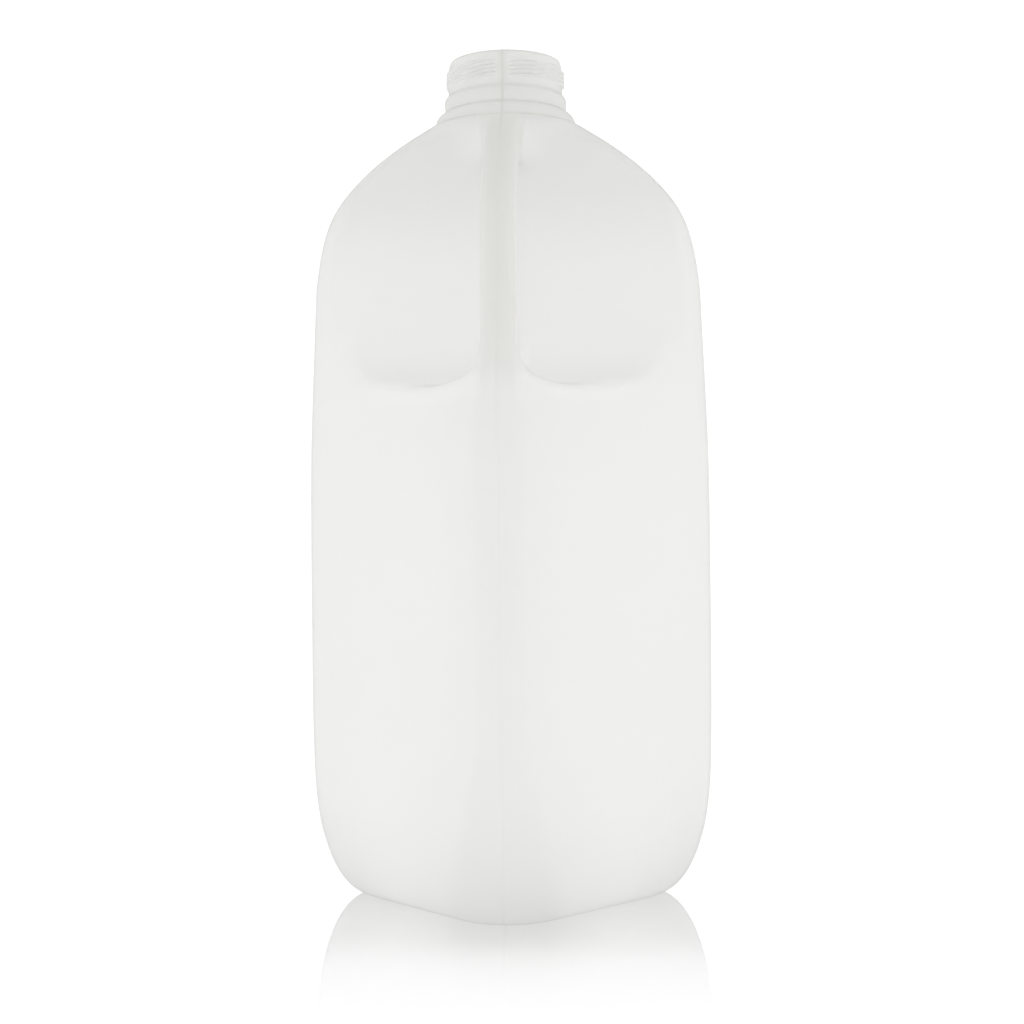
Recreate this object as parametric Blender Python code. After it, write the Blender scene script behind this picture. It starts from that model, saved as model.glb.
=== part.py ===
"""A two-litre milk bottle, blow-moulded in one piece of thin natural polythene.

The body is a rounded square that stands on a corner-to-corner axis: the mould's parting plane is
X = 0, and the hollow handle is the corner at -Y. A scoop on each side of the handle meets the other
through the finger hole, which runs along X. The bottle is open at its neck, and stands on Z = 0.

The surface is one grid of rings from the foot to the mouth, with a tube between two holes in it for
the handle. Solidify gives it its wall, and a Boolean joins the threads to the neck.
"""

import math

import bmesh
import bpy
from mathutils import Vector

MM = 0.001

# Body: a square with round corners, seen from above. All sizes are in millimetres.
SIDE = 105.0
CORNER_RADIUS = 24.3
CORNER_STEPS = 6
FLAT_STEPS = 6
COLUMNS = 4 * (CORNER_STEPS + FLAT_STEPS)

# Outline of a vertical corner, as (height, distance from the axis).
DOME_HEIGHT = 5.0
FOOT = ((4.4, 14.0), (2.8, 27.0), (0.8, 35.5), (0.0, 38.5), (0.0, 45.0))
HEEL = ((1.2, 50.0), (4.0, 53.7), (8.5, 56.9), (14.0, 59.3), (21.0, 61.5), (30.0, 63.1))
WALL = ((42.0, 63.9), (66.0, 64.2), (94.0, 64.2), (122.0, 64.2), (142.0, 64.0))
SHOULDER = ((193.0, 61.8), (200.0, 60.9), (207.0, 59.6), (214.0, 57.4), (220.0, 53.9), (226.0, 48.5))
NECK_ROOT = ((231.5, 42.5), (237.5, 34.4), (243.5, 25.6))
SQUARE_TO = 195.0
ROUND_FROM = 243.5

# Neck: collar, tamper bead and mouth, as (height, radius).
COLLAR = ((245.2, 23.5), (246.4, 23.0), (248.4, 21.9), (249.9, 20.6), (251.0, 19.4))
BEAD = ((252.3, 19.7), (253.4, 20.0), (254.8, 19.2), (256.0, 18.3))
MOUTH = ((257.2, 18.2), (264.9, 18.2), (265.7, 18.0), (266.0, 17.6))

# Threads: fine right-hand ridges with several starts, broken at the parting plane. Angles in degrees.
THREAD_STARTS = 8
THREAD_LEAD = 10.4
THREAD_BOTTOM = 257.8
THREAD_TOP = 264.2
THREAD_CREST = 18.95
THREAD_SUNK = 18.05
THREAD_ROOT = 17.75
THREAD_HALF_WIDTH = 0.5
THREAD_CREST_SHARE = 0.35
THREAD_GAP = 4.0
THREAD_STEP = 11.0
THREAD_TAPER = 9.0

# Scoops beside the handle: a level ledge, a quarter ellipse and an upright back wall.
SCOOP_COLUMNS = 9
LEDGE_HEIGHT = 158.5
LEDGE_ROWS = 6
LIP_ROUND = 5.0
SCOOP_MIDDLE = (-44.0, 193.0)
BACK_WALL = -19.5
SCOOP_DRAFT = 0.07
SCOOP_CROWN = 8.0
CEILING_FROM = 222.0
CEILING_LEAN = 5.5
EDGE_SOFTNESS = 2.5

# Handle: a hollow strip along the corner at -Y, and how its root spreads on the ledge.
HANDLE_WIDTH = 10.2
HANDLE_DEPTH = 19.0
HANDLE_TOP_DEPTH = 15.0
HANDLE_HEIGHTS = (169.0, 178.0, 187.0, 196.0, 204.0, 211.0, 218.0, 225.0, 231.5, 237.5)
# Across the strip: (share of the half width, share of the depth), from the front to the back.
HANDLE_SECTION = ((0.0, 0.0), (0.66, 0.01), (1.0, 0.13), (1.0, 0.5), (1.0, 0.87), (0.66, 0.99), (0.0, 1.0))
ROOT = ((8.2, -62.4, 160.0), (8.6, -55.0, 161.8), (8.0, -47.5, 162.8))
ROOT_BACK = (-39.5, 163.0)
ROOT_RISE = 10.0
ROOT_REACH = 5.0
CROWN = ((5.9, -24.5, 237.5),)
CROWN_BACK = (-21.5, 229.5)
CROWN_HALF_WIDTH = 5.6

# Wall thickness: the neck is several times the body.
NECK_WALL = 1.3
BODY_WALL = 0.5

PLASTIC_COLOUR = (0.86, 0.87, 0.85, 1.0)
PLASTIC_ROUGHNESS = 0.35


def clear_scene():
    for thing in list(bpy.data.objects):
        bpy.data.objects.remove(thing)


def square_ring():
    """The body's outline from above, from its front corner towards +X and round."""
    offset = (SIDE / 2 - CORNER_RADIUS) * math.sqrt(2)
    corners = []
    for number in range(4):
        facing = math.radians(90 * number - 90)
        middle = Vector((math.cos(facing), math.sin(facing), 0)) * offset
        arc = []
        for step in range(CORNER_STEPS + 1):
            turn = facing + math.radians(90 * step / CORNER_STEPS - 45)
            arc.append(middle + Vector((math.cos(turn), math.sin(turn), 0)) * CORNER_RADIUS)
        corners.append(arc)
    points = []
    for arc, following in zip(corners, corners[1:] + corners[:1]):
        points += arc
        points += [arc[-1].lerp(following[0], step / FLAT_STEPS) for step in range(1, FLAT_STEPS)]
    apex = CORNER_STEPS // 2
    return points[apex:] + points[:apex]


SQUARE = square_ring()
MEAN_REACH = sum(point.length for point in SQUARE) / COLUMNS


def ring(height, reach):
    """The outline at a height, grown to its reach: square low down and round at the neck."""
    share = min(max((height - SQUARE_TO) / (ROUND_FROM - SQUARE_TO), 0.0), 1.0)
    roundness = share * share * (3 - 2 * share)
    points = [p * (1 - roundness + roundness * MEAN_REACH / p.length) for p in SQUARE]
    return [p * (reach / points[0].length) + Vector((0, 0, height)) for p in points]


def outline_reach(height):
    """The corner's distance from the axis at a height, read off the outline."""
    outline = WALL + SHOULDER + NECK_ROOT + COLLAR[:1]
    for (low, near), (high, far) in zip(outline, outline[1:]):
        if height <= high:
            return near + (far - near) * (height - low) / (high - low)
    return outline[-1][1]


def soft_max(a, b):
    """The larger of two numbers, rounded off where they are about equal."""
    blend = max(EDGE_SOFTNESS - abs(a - b), 0.0) / EDGE_SOFTNESS
    return max(a, b) + blend * blend * EDGE_SOFTNESS / 4


def back_wall(across, height):
    """The Y of the scoop's back wall, at a distance from the parting plane."""
    draft = SCOOP_DRAFT * (math.hypot(across, SCOOP_CROWN) - SCOOP_CROWN)
    lean = max(height - CEILING_FROM, 0.0) / (ROUND_FROM - CEILING_FROM)
    return BACK_WALL + draft - CEILING_LEAN * lean * lean


def from_front(column):
    """How many columns a column is away from the front corner."""
    return min(column, COLUMNS - column)


def scooped(points):
    """A ring with its front pushed back to the scoop's wall."""
    moved = []
    for column, point in enumerate(points):
        if from_front(column) < SCOOP_COLUMNS:
            wall = back_wall(point.x, point.z)
            point = Vector((point.x, soft_max(point.y, wall), point.z))
        moved.append(point)
    return moved


def scoop_floor(edge):
    """Points from a column's edge over the ledge and up the ellipse, as (y, z) pairs."""
    beside = (abs(edge.x) - HANDLE_WIDTH / 2) / ROOT_REACH
    rise = ROOT_RISE * math.exp(-beside * beside)
    middle_y, middle_z = SCOOP_MIDDLE
    wide = back_wall(edge.x, middle_z) - middle_y
    tall = middle_z - LEDGE_HEIGHT
    level = max(middle_y - edge.y, 0.0)
    begin = math.asin(max((edge.y - middle_y) / wide, 0.0))
    curved = (math.pi / 2 - begin) * (wide + tall) / 2
    whole = level + curved
    stops = [0.0]
    stops += [LIP_ROUND + (whole - LIP_ROUND) * n / LEDGE_ROWS for n in range(LEDGE_ROWS)]
    points = []
    for along in stops:
        if along < level:
            points.append((edge.y + along, LEDGE_HEIGHT + rise))
        else:
            turn = begin + (math.pi / 2 - begin) * (along - level) / curved
            points.append((middle_y + wide * math.sin(turn), middle_z - tall * math.cos(turn)))
    return points


def ledge_rings():
    """The rings from under the scoops' lip to the foot of their back wall."""
    standing = ring(LEDGE_HEIGHT, outline_reach(LEDGE_HEIGHT))
    rings = [[] for _ in range(LEDGE_ROWS + 2)]
    for column in range(COLUMNS):
        near = from_front(column)
        edge = standing[min(max(near, 2), SCOOP_COLUMNS - 1)]
        floor = scoop_floor(edge)
        lip = floor[0][1]
        heights = [lip - LIP_ROUND, lip - LIP_ROUND / 5] + [z for _, z in floor[1:]]
        for number, height in enumerate(heights):
            point = ring(height, outline_reach(height))[column]
            if near < SCOOP_COLUMNS and number == 1:
                point.y += LIP_ROUND / 6
            if near < SCOOP_COLUMNS and number > 1:
                point.y = floor[number - 1][0]
            rings[number].append(point)
    return rings


def body_rings():
    """Every ring from the foot to the mouth, and where the ledge and the neck root start."""
    rings = [ring(*stop) for stop in FOOT + HEEL + WALL]
    ledge = len(rings)
    rings += ledge_rings()
    rings += [scooped(ring(*stop)) for stop in SHOULDER]
    crown = len(rings)
    rings += [scooped(ring(*stop)) for stop in NECK_ROOT]
    neck = len(rings)
    rings += [ring(*stop) for stop in COLLAR + BEAD + MOUTH]
    return rings, ledge, crown, neck


def spread_root(rings, ledge):
    """Moves the ring points about the handle's foot onto its spread root."""
    for number, (x, y, z) in enumerate(ROOT, 1):
        rings[ledge + number][1] = Vector((x, y, z))
        rings[ledge + number][-1] = Vector((-x, y, z))
    for column in (-1, 0, 1):
        rings[ledge + len(ROOT) + 1][column].yz = ROOT_BACK


def spread_crown(rings, crown):
    """Moves the ring points about the handle's top onto its spread crown."""
    for number, (x, y, z) in enumerate(CROWN, 1):
        rings[crown + number][2] = Vector((x, y, z))
        rings[crown + number][-2] = Vector((-x, y, z))
    for column in range(-2, 3):
        rings[crown][column].yz = CROWN_BACK
        rings[crown][column].x = CROWN_HALF_WIDTH * column / 2


def hole_loop(first, last, columns):
    """The (ring, column) pairs round a hole, from its front middle by way of +X."""
    loop = [(last, column) for column in range(columns + 1)]
    step = 1 if first > last else -1
    loop += [(number, columns) for number in range(last + step, first + step, step)]
    loop += [(first, column) for column in range(columns - 1, -columns - 1, -1)]
    loop += [(number, -columns) for number in range(first - step, last - step, -step)]
    loop += [(last, column) for column in range(1 - columns, 0)]
    return loop


def handle_loop(height):
    """Points round the handle where its front is at a height, from the front by way of +X."""
    front = Vector((0, -outline_reach(height), height))
    rise = outline_reach(height - 2) - outline_reach(height + 2)
    inward = Vector((0, 4, -rise)).normalized()
    late = max(height - SHOULDER[2][0], 0.0) / (NECK_ROOT[-1][0] - SHOULDER[2][0])
    depth = HANDLE_DEPTH + (HANDLE_TOP_DEPTH - HANDLE_DEPTH) * late
    half = [
        front + inward * depth * deep + Vector((HANDLE_WIDTH / 2 * wide, 0, 0))
        for wide, deep in HANDLE_SECTION
    ]
    other = [Vector((-point.x, point.y, point.z)) for point in half[-2:0:-1]]
    return half + other


def build_surface():
    """The bottle's outer surface, open at the mouth, as a bmesh in metres."""
    rings, ledge, crown, neck = body_rings()
    spread_root(rings, ledge)
    spread_crown(rings, crown)
    foot_hole = hole_loop(ledge + len(ROOT) + 1, ledge, 1)
    head_hole = hole_loop(crown, crown + 2, 2)

    mesh = bmesh.new()
    thick = mesh.verts.layers.deform.verify()
    grid = [[mesh.verts.new(point * MM) for point in points] for points in rings]
    centre = mesh.verts.new((0, 0, DOME_HEIGHT * MM))
    for column in range(COLUMNS):
        mesh.faces.new((grid[0][column - 1], centre, grid[0][column]))
    for number in range(len(rings) - 1):
        for column in range(COLUMNS):
            at_foot = ledge <= number <= ledge + len(ROOT) and column in (0, 1)
            at_head = crown <= number < crown + 2 and (column <= 2 or column == COLUMNS - 1)
            if not (at_foot or at_head):
                lower, upper = grid[number], grid[number + 1]
                mesh.faces.new((lower[column - 1], lower[column], upper[column], upper[column - 1]))

    loops = [[grid[number][column] for number, column in foot_hole]]
    loops += [[mesh.verts.new(p * MM) for p in handle_loop(z)] for z in HANDLE_HEIGHTS]
    loops += [[grid[number][column] for number, column in head_hole]]
    for lower, upper in zip(loops, loops[1:]):
        for step in range(len(lower)):
            mesh.faces.new((lower[step - 1], lower[step], upper[step], upper[step - 1]))

    loose = [vert for vert in mesh.verts if not vert.link_faces]
    bmesh.ops.delete(mesh, geom=loose, context="VERTS")
    for points in grid[neck:]:
        for vert in points:
            vert[thick][0] = 1.0
    return mesh


def between_partings(start, end):
    """The stretches of a turn that keep clear of the parting plane, in degrees from +X."""
    stretches = []
    parting = 180 * math.floor((start - 90) / 180) + 90
    while parting < end:
        low = max(start, parting + THREAD_GAP)
        high = min(end, parting + 180 - THREAD_GAP)
        if high - low > 3 * THREAD_TAPER:
            stretches.append((low, high))
        parting += 180
    return stretches


def thread_section(turn, height, crest):
    """The four corners of a ridge where it stands at a turn and a height."""
    outward = Vector((math.cos(math.radians(turn)), math.sin(math.radians(turn)), 0))
    top = THREAD_HALF_WIDTH * THREAD_CREST_SHARE
    corners = ((THREAD_ROOT, -THREAD_HALF_WIDTH), (crest, -top), (crest, top), (THREAD_ROOT, THREAD_HALF_WIDTH))
    return [outward * radius + Vector((0, 0, height + rise)) for radius, rise in corners]


def add_ridge(mesh, start, begin, end):
    """One stretch of the thread that starts at an angle, its two ends sunk into the wall."""
    full = end - begin - 2 * THREAD_TAPER
    steps = math.ceil(full / THREAD_STEP)
    turns = [begin + THREAD_TAPER + full * step / steps for step in range(steps + 1)]
    sections = []
    for turn in [begin] + turns + [end]:
        crest = THREAD_SUNK if turn in (begin, end) else THREAD_CREST
        height = THREAD_BOTTOM + THREAD_LEAD * (turn - start) / 360
        points = thread_section(turn, height, crest)
        sections.append([mesh.verts.new(point * MM) for point in points])
    for lower, upper in zip(sections, sections[1:]):
        for side in range(len(lower)):
            mesh.faces.new((lower[side - 1], lower[side], upper[side], upper[side - 1]))
    mesh.faces.new(sections[0])
    mesh.faces.new(sections[-1])


def build_threads():
    """Every ridge of the thread, as a bmesh in metres."""
    mesh = bmesh.new()
    sweep = 360 * (THREAD_TOP - THREAD_BOTTOM) / THREAD_LEAD
    for number in range(THREAD_STARTS):
        start = 360 * number / THREAD_STARTS
        for begin, end in between_partings(start, start + sweep):
            add_ridge(mesh, start, begin, end)
    bmesh.ops.recalc_face_normals(mesh, faces=mesh.faces)
    return mesh


def plastic():
    """Natural polythene: milky, greyish white, half matt."""
    material = bpy.data.materials.new("natural polythene")
    material.use_nodes = True
    shader = material.node_tree.nodes["Principled BSDF"]
    shader.inputs["Base Color"].default_value = PLASTIC_COLOUR
    shader.inputs["Roughness"].default_value = PLASTIC_ROUGHNESS
    shader.inputs["Metallic"].default_value = 0.0
    return material


def add_object(name, mesh):
    data = bpy.data.meshes.new(name)
    mesh.to_mesh(data)
    mesh.free()
    thing = bpy.data.objects.new(name, data)
    bpy.context.collection.objects.link(thing)
    return thing


def add_bottle():
    """The bottle: its surface, the wall that Solidify gives it, and the threads joined on."""
    bottle = add_object("bottle", build_surface())
    bottle.data.materials.append(plastic())
    bottle.data.shade_smooth()
    bottle.data.set_sharp_from_angle(angle=math.radians(50))
    bottle.vertex_groups.new(name="neck")
    wall = bottle.modifiers.new("wall", "SOLIDIFY")
    wall.thickness = NECK_WALL * MM
    wall.offset = -1.0
    wall.vertex_group = "neck"
    wall.thickness_vertex_group = BODY_WALL / NECK_WALL
    threads = add_object("threads", build_threads())
    threads.hide_render = True
    threads.display_type = "WIRE"
    join = bottle.modifiers.new("threads", "BOOLEAN")
    join.operation = "UNION"
    join.solver = "EXACT"
    join.object = threads


clear_scene()
add_bottle()
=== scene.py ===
"""An empty two-litre milk bottle in thin natural polythene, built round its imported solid.

The bottle is one skin. A plane on its corner gets round corners and is extruded, ring by ring,
from the foot to the mouth. The rings' points beside the handle are moved onto the scoops' ledge
and back wall. The hollow handle is extruded from a hole in the ledge up to a hole under the neck,
and modifiers round the skin and give it its wall. The threads and the mould's parting line are
raised on it last.
"""

import math

import bmesh
import bpy
from bpy.props import FloatProperty, FloatVectorProperty, IntProperty, PointerProperty
from mathutils import Matrix, Vector


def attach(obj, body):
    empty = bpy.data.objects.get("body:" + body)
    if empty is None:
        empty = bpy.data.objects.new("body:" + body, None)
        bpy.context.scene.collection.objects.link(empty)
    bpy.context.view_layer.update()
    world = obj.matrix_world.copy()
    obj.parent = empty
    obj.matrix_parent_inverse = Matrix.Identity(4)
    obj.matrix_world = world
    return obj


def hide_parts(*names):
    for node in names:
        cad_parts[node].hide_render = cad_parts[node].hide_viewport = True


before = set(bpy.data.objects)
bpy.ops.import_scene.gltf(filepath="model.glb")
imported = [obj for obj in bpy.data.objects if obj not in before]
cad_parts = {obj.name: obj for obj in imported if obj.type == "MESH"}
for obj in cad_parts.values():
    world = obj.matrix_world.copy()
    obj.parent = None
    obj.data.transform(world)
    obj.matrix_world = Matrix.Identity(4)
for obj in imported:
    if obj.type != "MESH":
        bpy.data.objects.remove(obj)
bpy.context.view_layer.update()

bl_info = {
    "name": "Milk bottle",
    "version": (1, 0, 0),
    "blender": (4, 5, 0),
    "location": "View3D > Sidebar > Bottle",
    "description": "Builds a blow-moulded milk bottle with a corner handle, and a stage for it",
    "category": "Add Mesh",
}

MM = 0.001

# The outline of a vertical corner, as (height, distance from the axis), all in millimetres.
DOME_HEIGHT = 5.0
FOOT = ((4.4, 14.0), (2.8, 27.0), (0.8, 35.5), (0.0, 38.5), (0.0, 45.0))
HEEL = ((1.2, 50.0), (4.0, 53.7), (8.5, 56.9), (14.0, 59.3), (21.0, 61.5), (30.0, 63.1))
WALL = ((42.0, 63.9), (66.0, 64.2), (94.0, 64.2), (122.0, 64.2), (142.0, 64.0))
SHOULDER = (
    (193.0, 61.8),
    (200.0, 60.9),
    (207.0, 59.6),
    (214.0, 57.4),
    (220.0, 53.9),
    (226.0, 48.5),
)
NECK_ROOT = ((231.5, 42.5), (237.5, 34.4), (243.5, 25.6))
COLLAR = ((244.2, 23.3), (244.6, 22.8), (246.6, 22.3), (248.3, 21.1), (249.2, 19.4), (249.5, 19.0))
BEAD = ((250.0, 19.1), (251.6, 19.7), (253.5, 19.5), (254.3, 18.7), (254.7, 18.3))
MOUTH = ((255.8, 18.2), (263.8, 18.1), (264.9, 17.9), (265.4, 17.5))
SQUARE_TO = 195.0
ROUND_FROM = 243.5

# Columns of points round a ring, counted from the front corner towards +X.
CORNER_STEPS = 6
FLAT_STEPS = 6
QUARTER = CORNER_STEPS + FLAT_STEPS
COLUMNS = 4 * QUARTER

# The scoops beside the handle, in millimetres.
RIM_COLUMN = 9
LEDGE_HEIGHT = 158.5
LEDGE_ROWS = 6
LIP_ROUND = 5.0
SCOOP_MIDDLE = (-44.0, 193.0)
BACK_WALL = -19.5
SCOOP_DRAFT = 0.07
SCOOP_CROWN = 8.0
CEILING_FROM = 222.0
CEILING_LEAN = 5.5

# The handle, in millimetres, and how its root spreads on the ledge and its top under the neck.
# Its section is given as half a ring, in shares of its half width and of its depth.
HANDLE_DEPTH = 19.0
HANDLE_TOP_DEPTH = 15.0
HANDLE_HEIGHTS = (169.0, 178.0, 187.0, 196.0, 204.0, 211.0, 218.0, 225.0, 231.5, 237.5)
HANDLE_SECTION = (
    (0.0, 0.0),
    (0.66, 0.01),
    (1.0, 0.13),
    (1.0, 0.5),
    (1.0, 0.87),
    (0.66, 0.99),
    (0.0, 1.0),
)
ROOT = ((8.2, -62.4, 160.0), (8.6, -55.0, 161.8), (8.0, -47.5, 162.8))
ROOT_BACK = (-39.5, 163.0)
ROOT_RISE = 10.0
ROOT_REACH = 5.0
CROWN = ((5.9, -24.5, 237.5),)
CROWN_BACK = (-21.5, 229.5)
CROWN_HALF_WIDTH = 5.6

# Threads: right-hand ridges with several starts, in millimetres. A ridge takes a share of the
# pitch, and each of its flanks a share of the ridge. They break at the parting plane, over a gap
# and a taper in degrees. The band they stand on is divided into so many rows of faces.
THREAD_STARTS = 8
THREAD_LEAD = 10.4
THREAD_PITCH = THREAD_LEAD / THREAD_STARTS
THREAD_BAND = (256.9, 262.9)
THREAD_RUN_OUT = 0.9
RIDGE_SHARE = 0.8
FLANK_SHARE = 0.32
THREAD_GAP = 4.5
THREAD_TAPER = 9.0
THREAD_ROWS = 46

# The parting line's half width in millimetres, and the angle in degrees past which an edge is
# left sharp.
SEAM_HALF_WIDTH = 0.35
SHARP_ANGLE = 50

# Painted shade in the neck's creases and at its rim, as (height, half width in millimetres, how
# dark from 0 to 1).
NECK_CREASE_SHADE = ((244.1, 1.1, 0.6), (248.9, 1.2, 0.7), (254.2, 1.3, 0.65), (265.3, 0.9, 1.0))

# The painted shade lines in the threads' valleys and along the parting line. Pairs are
# stretches in millimetres, across the bottle or up it, over which a line comes or goes, and DARK
# is how dark it is, from 0 to 1. A valley's half width is a share of the pitch, and it runs out
# at the ends of the threads over some tenths of a millimetre.
VALLEY_HALF_WIDTH = 0.25
VALLEY_RUN_OUT = 0.8
VALLEY_GAP = (1.5, 2.5)
VALLEY_FADE = (6.0, 13.0)
VALLEY_SIDE_DARK = 0.1
SEAM_EDGE = (0.25, 0.55)
SEAM_RISE = (228.0, 254.0)
SEAM_DARK = (0.02, 0.9)
SEAM_SIDE_EDGE = (0.6, 2.4)
SEAM_SIDE_RISE = (250.0, 257.0)
SEAM_SIDE_DARK = 0.4

# Where the plastic is darkened, and how much, from 0 to 1: the neck for its thicker plastic and
# partly as painted shade, painted shade on a fan at the foot that narrows to a band up the front
# and back corners, on the handle, on the scoops' ledge and on the shoulders. RISE and FALL are
# stretches of height, FRONT of Y and ACROSS of the distance from the parting plane, in
# millimetres. The pairs of a fan are for the foot and for the band that it narrows to, and the
# pairs of a spread for the handle and for its top under the neck. Two ovals beside the handle's
# top are kept out of the shoulders' painted shade, as painted highlights.
NECK_RISE = (237.0, 244.5)
NECK_THICK_AND_SHADE = 0.6
FAN_RISE = (0.0, 62.0)
FAN_HALF_WIDTH = (15.5, 7.0)
FAN_SOFTNESS = (6.0, 1.5)
FAN_SHADE = (0.38, 0.2)
HANDLE_FRONT = (-24.0, -21.0)
HANDLE_RISE = (142.0, 167.0)
SPREAD_RISE = (228.0, 243.0)
SPREAD_HALF_WIDTH = (5.8, 8.2)
SPREAD_EDGE = (0.1, 1.3)
LEDGE_RISE = (159.0, 162.5)
LEDGE_FALL = (167.5, 173.5)
LEDGE_FRONT = (-44.0, -20.0)
LEDGE_SHADE = 0.78
SHOULDER_RISE = (196.0, 224.0)
SHOULDER_ACROSS = (48.0, 62.0)
SHOULDER_SHADE = 0.45
OVAL_RISE = (228.0, 234.0)
OVAL_ACROSS = (10.0, 18.0)

# Where the gloss is brighter than on the walls, in the same way.
GLOSS_RISE = (150.0, 156.0)
HANDLE_GLOSS_ACROSS = (7.0, 9.0)
HANDLE_GLOSS_FRONT = (-26.0, -20.0)
LEDGE_GLOSS_FALL = (165.0, 170.0)
LEDGE_GLOSS = 0.5
WALL_GLOSS = 0.55

# The plastic's surface: the gloss's share where it faces the eye and at its outline, the tints
# of the painted shade lines and of its uneven tone, and its waves and grain, with depths in
# millimetres.
GLOSS_SHARE = (0.04, 0.5)
GLOSS_STEEPNESS = 5.0
SHADE_LINE_TINT = (0.91, 0.91, 0.895, 1.0)
TONE_TINT = (0.99, 0.99, 0.987, 1.0)
TONE_SCALE = 14.0
WAVE_SCALE = 60.0
WAVE_STRENGTH = 0.25
WAVE_DEPTH = 0.4
WAVE_ROUGHNESS = 0.08
GRAIN_SCALE = 2500.0
GRAIN_STRENGTH = 0.12
GRAIN_DEPTH = 0.02

# The floor, in millimetres from the bottle's axis: the edge of the light under the bottle, and
# where the floor gets lighter.
LIGHT_BELOW_EDGE = (30.0, 34.0)
LIGHTER_FROM = (125.0, 175.0)

# The floor's reflection: how much a distance from side to side counts, how rough the mirror is,
# and the reflection's share, by millimetres from the bottle's axis.
SHINE_ACROSS = 0.8
MIRROR_ROUGHNESS = 0.02
FLOOR_SHINE = (
    (0, 0.77),
    (60, 0.77),
    (66, 0.68),
    (74, 0.54),
    (83, 0.36),
    (95, 0.23),
    (106, 0.13),
    (120, 0.05),
    (135, 0.0),
)

# The room's light, by the Y and Z of its direction. It is dimmer from behind the camera, though
# not close to the floor, and dimmer overhead.
BEHIND_CAMERA = (-0.85, -0.15)
ABOVE_FLOOR = (0.06, 0.35)
OVERHEAD = (0.35, 1.0)
ROOM_LIGHT = 1.11

# The softboxes, in metres and degrees.
SOFTBOX_TURN = 95
SOFTBOX_DISTANCE = 0.8
SOFTBOX_HEIGHT = 0.35
SOFTBOX_AIM_HEIGHT = 0.13
SOFTBOX_SIZE = (0.45, 0.7)

# Camera: a 1024 pixel square picture, with its focal length and its horizon in pixels. The
# sensor's width and the step aside are in millimetres, and the roll is in degrees.
PICTURE_SIDE = 1024
FOCAL_PIXELS = 1634
HORIZON_ROW = 520
SENSOR_WIDTH = 36.0
CAMERA_ROLL = -0.58
CAMERA_ASIDE = 0.75


class BottleShape(bpy.types.PropertyGroup):
    """Sizes of the bottle that a user would change."""

    side: FloatProperty(
        name="Side",
        description="Width of the body across its flats",
        default=105 * MM,
        subtype="DISTANCE",
        unit="LENGTH",
    )
    corner_radius: FloatProperty(
        name="Corner radius",
        description="Radius of the body's upright corners",
        default=24.3 * MM,
        subtype="DISTANCE",
        unit="LENGTH",
    )
    handle_width: FloatProperty(
        name="Handle width",
        description="Width of the handle, seen from the front",
        default=10.2 * MM,
        subtype="DISTANCE",
        unit="LENGTH",
    )
    body_wall: FloatProperty(
        name="Body wall",
        description="Thickness of the plastic on the body and the handle",
        default=0.5 * MM,
        subtype="DISTANCE",
        unit="LENGTH",
    )
    neck_wall: FloatProperty(
        name="Neck wall",
        description="Thickness of the plastic at the neck",
        default=1.3 * MM,
        subtype="DISTANCE",
        unit="LENGTH",
    )
    thread_height: FloatProperty(
        name="Thread height",
        description="How far the threads stand out of the neck",
        default=0.8 * MM,
        subtype="DISTANCE",
        unit="LENGTH",
    )
    seam_height: FloatProperty(
        name="Seam height",
        description="How far the mould's parting line stands out",
        default=0.12 * MM,
        subtype="DISTANCE",
        unit="LENGTH",
    )
    smoothing: IntProperty(
        name="Smoothing",
        description="Levels of subdivision on the skin",
        default=2,
        min=1,
        max=3,
    )


class BottleFinish(bpy.types.PropertyGroup):
    """Colours and gloss of the plastic."""

    plastic: FloatVectorProperty(
        name="Plastic",
        description="Colour of the plastic",
        subtype="COLOR",
        size=3,
        min=0.0,
        max=1.0,
        default=(0.985, 0.985, 0.984),
    )
    # Also the colour towards which the painted shade darkens the plastic.
    thick_and_shaded_plastic: FloatVectorProperty(
        name="Thick plastic",
        description="Colour of the plastic where it is thickest",
        subtype="COLOR",
        size=3,
        min=0.0,
        max=1.0,
        default=(0.933, 0.933, 0.924),
    )
    clearness: FloatProperty(
        name="Clearness",
        description="Share of the light that goes through one face of the wall",
        default=0.85,
        min=0.0,
        max=1.0,
        subtype="FACTOR",
    )
    roughness: FloatProperty(
        name="Roughness",
        description="Roughness of the surface's gloss",
        default=0.28,
        min=0.0,
        max=1.0,
        subtype="FACTOR",
    )


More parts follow.
